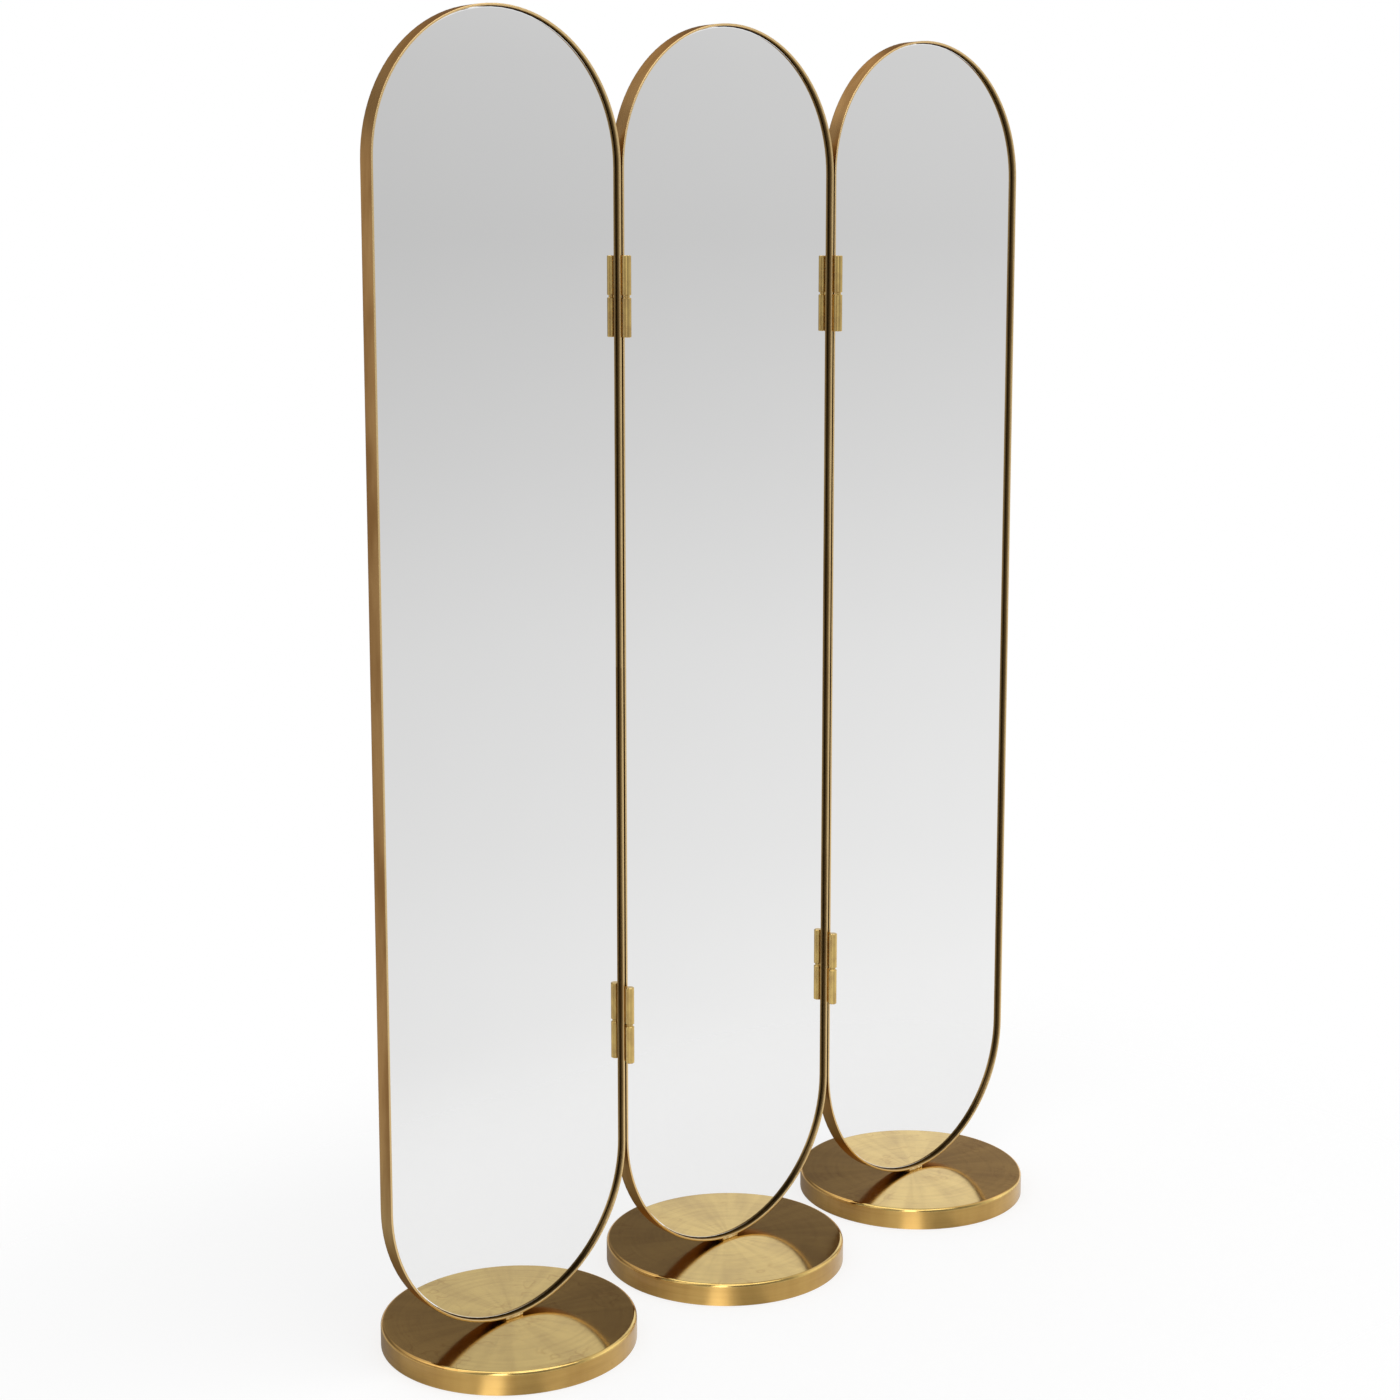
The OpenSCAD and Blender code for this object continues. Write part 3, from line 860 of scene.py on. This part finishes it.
def shown_in_base_sides(tree, x, y, by_glossy):
    """The floor's level: 1, but a bright strip and two dimmer parts where the bases' sides show it."""
    _, across = from_panel_axis(x)
    around = (0 - across).angle_from(0 - y)
    # In square metres about a base's axis, and in metres from the metal that shows the floor
    close_start, close_end = 0.06, 0.12
    low_start, low_end = 0.10, 0.15
    left_start, left_end = math.radians(55), math.radians(90)
    close = (across * across + y * y).falls(close_start, close_end)
    strip_light = around.near(46, flat=2, end=8) * close
    shade = around.near(29, flat=4, end=11) * close
    dim_left = around.rises(left_start, left_end) * close
    # Only the low sides of the bases are this near to the floor, and the mirrors are not
    from_side = by_glossy * tree.add("ShaderNodeLightPath", output="Ray Length").falls(low_start, low_end)
    strip_gain, shade_loss, left_loss = 1.6, 0.5, 0.65
    return 1 + from_side * (strip_gain * strip_light - shade_loss * shade - left_loss * dim_left)


def seen_by(tree):
    """For the camera, for what metal shows and for what glass shows: 1 on its own rays, 0 on others."""
    kinds = ("Camera", "Glossy", "Transmission")
    return [tree.add("ShaderNodeLightPath", output=f"Is {kind} Ray") for kind in kinds]


def hang_lamp(scene, studio):
    """A large soft lamp above and a little in front of the screen."""
    data = bpy.data.lights.new("overhead_lamp", "AREA")
    data.shape = "RECTANGLE"
    data.size, data.size_y = studio.lamp_width, studio.lamp_depth
    data.energy = math.pi * studio.lamp_level * studio.lamp_width * studio.lamp_depth
    lamp = bpy.data.objects.new("overhead_lamp", data)
    lamp.location = (0, -studio.lamp_forward, studio.lamp_height)
    aim = Vector((0, 0, mid_height)) - lamp.location
    lamp.rotation_euler = aim.to_track_quat("-Z", "Y").to_euler()
    scene.collection.objects.link(lamp)


def surround(scene, studio):
    """White for the camera, and for metal and glass a pale studio that is darker behind the screen."""
    world = bpy.data.worlds.new("studio")
    scene.world = world
    tree = Tree(world)
    x, y, z = tree.parts(tree.add("ShaderNodeTexCoord", output="Generated"))
    height = z * 0.5 + 0.5
    front = tree.add("ShaderNodeValToRGB", {"stops": FRONT_LEVELS}, {0: height})
    back = tree.add("ShaderNodeValToRGB", {"stops": BACK_LEVELS}, {0: height})
    front_start, front_end = -0.2, 0.25
    facing = (0 - y).rises(front_start, front_end)
    behind = 1 - facing
    warm_back = tree.blend(1, back, studio.back_tint, "MULTIPLY")
    tone = tree.blend(facing, warm_back, front)
    # The back wall has a bright panel far to the right, a weaker one before it and one high on the left
    right_panel = x.rises(0.64, 0.72)
    weaker_panel = x.falls(0.47, 0.55) * x.rises(0.1, 0.3)
    left_panel = (0 - x).rises(0.2, 0.6) * z.rises(0.1, 0.3) * behind
    right_gain, weaker_gain, left_gain = 0.9, 0.5, 1.2
    uneven = 1 + behind * (right_gain * right_panel + weaker_gain * weaker_panel)
    # The front wall gets brighter to the right, steeper so higher up, and a little dimmer above that
    low_slope, added_slope, even_x = 0.65, 1.3, 0.66
    slope = low_slope + added_slope * z.rises(0.2, 0.32)
    to_right = (x - even_x).at_most(0.12).at_least(-0.3)
    top_loss = 0.14
    aside = 1 + facing * (slope * to_right - top_loss * z.rises(0.40, 0.45))
    # An upright lamp and a dimmer gap beside it stand to the left of the front wall's middle
    turn = (0 - x).angle_from(0 - y)
    standing = z.rises(-0.4, -0.1) * z.falls(0.75, 0.95)
    lamp_foot, gap_loss = 0.3, 0.3
    lamp_rise = lamp_foot + (1 - lamp_foot) * z.rises(0.05, 0.3)
    lamp = turn.near(47, flat=3, end=11) * standing * lamp_rise
    gap = turn.near(18, flat=7, end=18) * standing
    shaped = (uneven * aside * (1 - gap_loss * gap) + studio.side_lamp_level * lamp
              + left_gain * left_panel)
    by_camera, by_glossy, by_glass = seen_by(tree)
    mirrored = by_glossy.at_least(by_glass)
    matt_or_mirrored = studio.plain_level * (1 - mirrored) + mirrored * shaped
    strength = by_camera + (1 - by_camera) * matt_or_mirrored
    plain = (1 - mirrored).at_least(by_camera)
    color = tree.blend(plain, tone, (1, 1, 1))
    background = tree.add("ShaderNodeBackground", inputs={"Color": color, "Strength": strength})
    tree.add_output("ShaderNodeOutputWorld", background)


class VIEW3D_PT_divider(bpy.types.Panel):
    """Lists the screen's operators and settings in the sidebar"""
    bl_label = "Mirror screen"
    bl_space_type = "VIEW_3D"
    bl_region_type = "UI"
    bl_category = "Mirror screen"

    def draw(self, context):
        layout = self.layout
        for step in steps:
            layout.operator(step.bl_idname)
        scene = context.scene
        for group in (scene.divider_look, scene.divider_weld, scene.divider_studio):
            box = layout.box()
            for name in group.bl_rna.properties.keys():
                if name not in ("rna_type", "name"):
                    box.prop(group, name)


steps = (
    DIVIDER_OT_finish_frames,
    DIVIDER_OT_finish_hinges,
    DIVIDER_OT_finish_mirrors,
    DIVIDER_OT_finish_backs,
    DIVIDER_OT_finish_bases,
    DIVIDER_OT_weld_feet,
    DIVIDER_OT_set_stage,
)
classes = (DividerLook, DividerWeld, DividerStudio, *steps, VIEW3D_PT_divider)


def register():
    for cls in classes:
        bpy.utils.register_class(cls)
    bpy.types.Scene.divider_look = PointerProperty(type=DividerLook)
    bpy.types.Scene.divider_weld = PointerProperty(type=DividerWeld)
    bpy.types.Scene.divider_studio = PointerProperty(type=DividerStudio)


def unregister():
    del bpy.types.Scene.divider_studio
    del bpy.types.Scene.divider_weld
    del bpy.types.Scene.divider_look
    for cls in reversed(classes):
        bpy.utils.unregister_class(cls)


def main():
    """Registers the add-on, runs its operators in order, and gathers the two sizes."""
    register()
    bpy.ops.divider.finish_frames()
    bpy.ops.divider.finish_hinges()
    bpy.ops.divider.finish_mirrors()
    bpy.ops.divider.finish_backs()
    bpy.ops.divider.finish_bases()
    bpy.ops.divider.weld_feet()
    bpy.ops.divider.set_stage()
    sizes = {
        "cad": [list(corner) for corner in cad_box],
        "visual": [list(corner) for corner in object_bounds()],
    }


if __name__ == "__main__":
    main()
